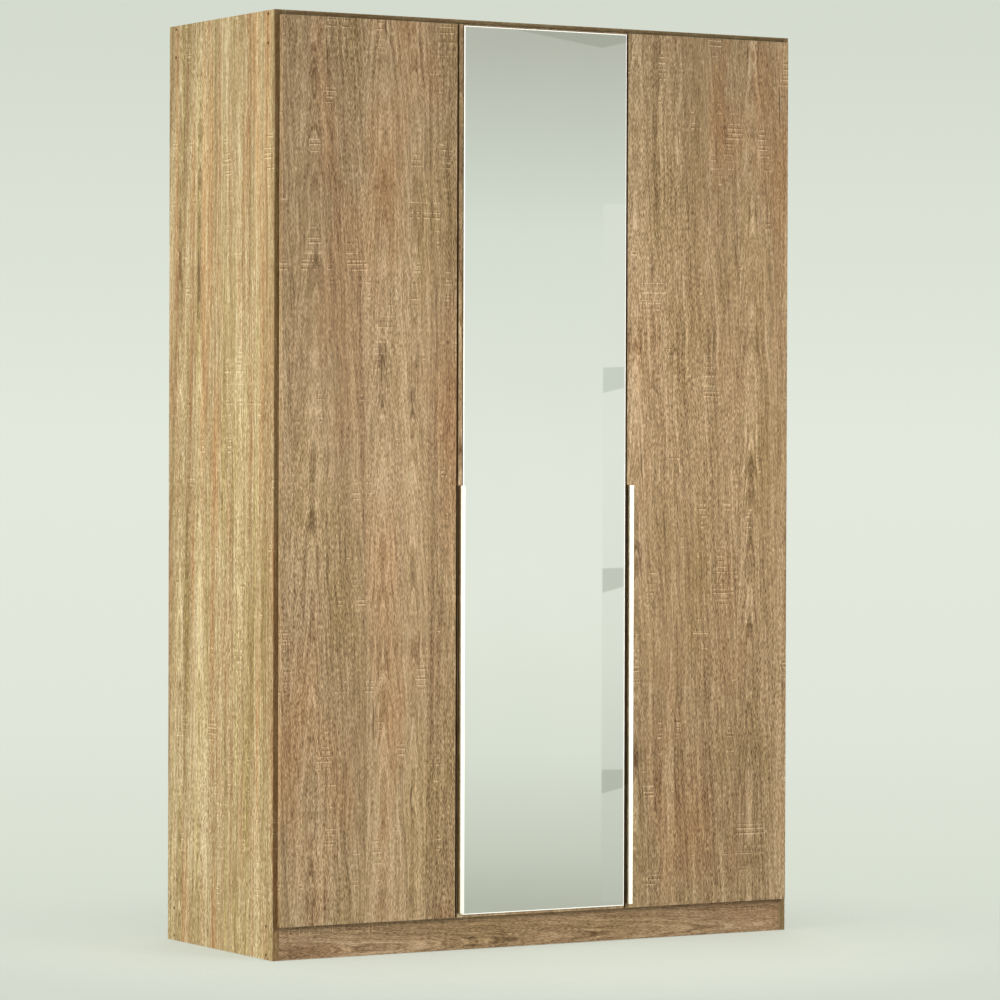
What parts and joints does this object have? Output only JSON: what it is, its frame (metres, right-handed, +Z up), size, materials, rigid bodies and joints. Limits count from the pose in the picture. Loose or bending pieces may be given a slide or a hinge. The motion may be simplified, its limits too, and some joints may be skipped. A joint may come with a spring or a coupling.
{
  "type": "wardrobe with doors",
  "caption": "Tall hinged-door wardrobe of wood-grain laminated board with a full-height mirror on the middle door, long edge pulls, a hanging space with hat shelf and a shelved side.",
  "frame": {"origin": "on the floor, at mid width and at mid overall depth with the handles counted", "axes": "+Z up; the doors face -Y; +X is to the right of a person who faces the doors"},
  "size_m": [1.36, 0.555, 2.1],
  "materials": {
    "front_laminate": "rough-sawn oak laminate, satin",
    "carcass_laminate": "rough-sawn oak laminate, satin",
    "hardboard": "painted hardboard",
    "strip_plastic": "extruded",
    "mirror_glass": "silvered float glass, polished edge",
    "handle_aluminium": "anodised satin",
    "hinge_nickel": "nickel plated",
    "rail_chrome": "chromed tube"
  },
  "bodies": {
    "carcass": {"left_side_panel": "carcass_laminate", "right_side_panel": "carcass_laminate", "partition_panel": "carcass_laminate", "top_panel": "carcass_laminate", "bottom_panel": "carcass_laminate", "plinth_board": "front_laminate", "base_rail_front": "carcass_laminate", "base_rail_rear": "carcass_laminate", "top_rail_front": "carcass_laminate", "top_rail_rear": "carcass_laminate", "hat_shelf": "carcass_laminate", "shelf_1": "carcass_laminate", "shelf_2": "carcass_laminate", "shelf_3": "carcass_laminate", "shelf_4": "carcass_laminate", "back_panel_left": "hardboard", "back_panel_middle": "hardboard", "back_panel_right": "hardboard", "back_joint_strip_left": "strip_plastic", "back_joint_strip_right": "strip_plastic", "hanging_rail": "rail_chrome", "rail_socket_left": "rail_chrome", "rail_socket_right": "rail_chrome", "left_door_hinge_1_arm": "hinge_nickel", "left_door_hinge_2_arm": "hinge_nickel", "left_door_hinge_3_arm": "hinge_nickel", "mirror_door_hinge_1_arm": "hinge_nickel", "mirror_door_hinge_2_arm": "hinge_nickel", "mirror_door_hinge_3_arm": "hinge_nickel", "mirror_door_hinge_4_arm": "hinge_nickel", "right_door_hinge_1_arm": "hinge_nickel", "right_door_hinge_2_arm": "hinge_nickel", "right_door_hinge_3_arm": "hinge_nickel"},
    "left_door": {"left_door_panel": "front_laminate", "left_door_hinge_1_cup": "hinge_nickel", "left_door_hinge_2_cup": "hinge_nickel", "left_door_hinge_3_cup": "hinge_nickel"},
    "left_door_links": {"left_door_hinge_1_link": "hinge_nickel", "left_door_hinge_2_link": "hinge_nickel", "left_door_hinge_3_link": "hinge_nickel"},
    "mirror_door": {"mirror_door_panel": "front_laminate", "mirror_glass": "mirror_glass", "mirror_door_handle": "handle_aluminium", "mirror_door_hinge_1_cup": "hinge_nickel", "mirror_door_hinge_2_cup": "hinge_nickel", "mirror_door_hinge_3_cup": "hinge_nickel", "mirror_door_hinge_4_cup": "hinge_nickel"},
    "mirror_door_links": {"mirror_door_hinge_1_link": "hinge_nickel", "mirror_door_hinge_2_link": "hinge_nickel", "mirror_door_hinge_3_link": "hinge_nickel", "mirror_door_hinge_4_link": "hinge_nickel"},
    "right_door": {"right_door_panel": "front_laminate", "right_door_handle": "handle_aluminium", "right_door_hinge_1_cup": "hinge_nickel", "right_door_hinge_2_cup": "hinge_nickel", "right_door_hinge_3_cup": "hinge_nickel"},
    "right_door_links": {"right_door_hinge_1_link": "hinge_nickel", "right_door_hinge_2_link": "hinge_nickel", "right_door_hinge_3_link": "hinge_nickel"}
  },
  "joints": [
    {"name": "left_door_swing", "type": "hinge", "parent": "carcass", "child": "left_door", "pos_m": [-0.669, -0.2665, 1.08], "axis": [0, 0, -1], "range_deg": [0, 95]},
    {"name": "left_door_link_turn", "type": "hinge", "parent": "carcass", "child": "left_door_links", "pos_m": [-0.669, -0.2665, 1.08], "axis": [0, 0, -1], "range_deg": [0, 47.5]},
    {"name": "mirror_door_swing", "type": "hinge", "parent": "carcass", "child": "mirror_door", "pos_m": [0.22133, -0.2665, 1.08], "axis": [0, 0, 1], "range_deg": [0, 95]},
    {"name": "mirror_door_link_turn", "type": "hinge", "parent": "carcass", "child": "mirror_door_links", "pos_m": [0.22133, -0.2665, 1.08], "axis": [0, 0, 1], "range_deg": [0, 47.5]},
    {"name": "right_door_swing", "type": "hinge", "parent": "carcass", "child": "right_door", "pos_m": [0.669, -0.2665, 1.08], "axis": [0, 0, 1], "range_deg": [0, 95]},
    {"name": "right_door_link_turn", "type": "hinge", "parent": "carcass", "child": "right_door_links", "pos_m": [0.669, -0.2665, 1.08], "axis": [0, 0, 1], "range_deg": [0, 47.5]}
  ],
  "couplings": [
    {"joint": "left_door_link_turn", "follows": "left_door_swing", "ratio": 0.5},
    {"joint": "mirror_door_link_turn", "follows": "mirror_door_swing", "ratio": 0.5},
    {"joint": "right_door_link_turn", "follows": "right_door_swing", "ratio": 0.5}
  ]
}
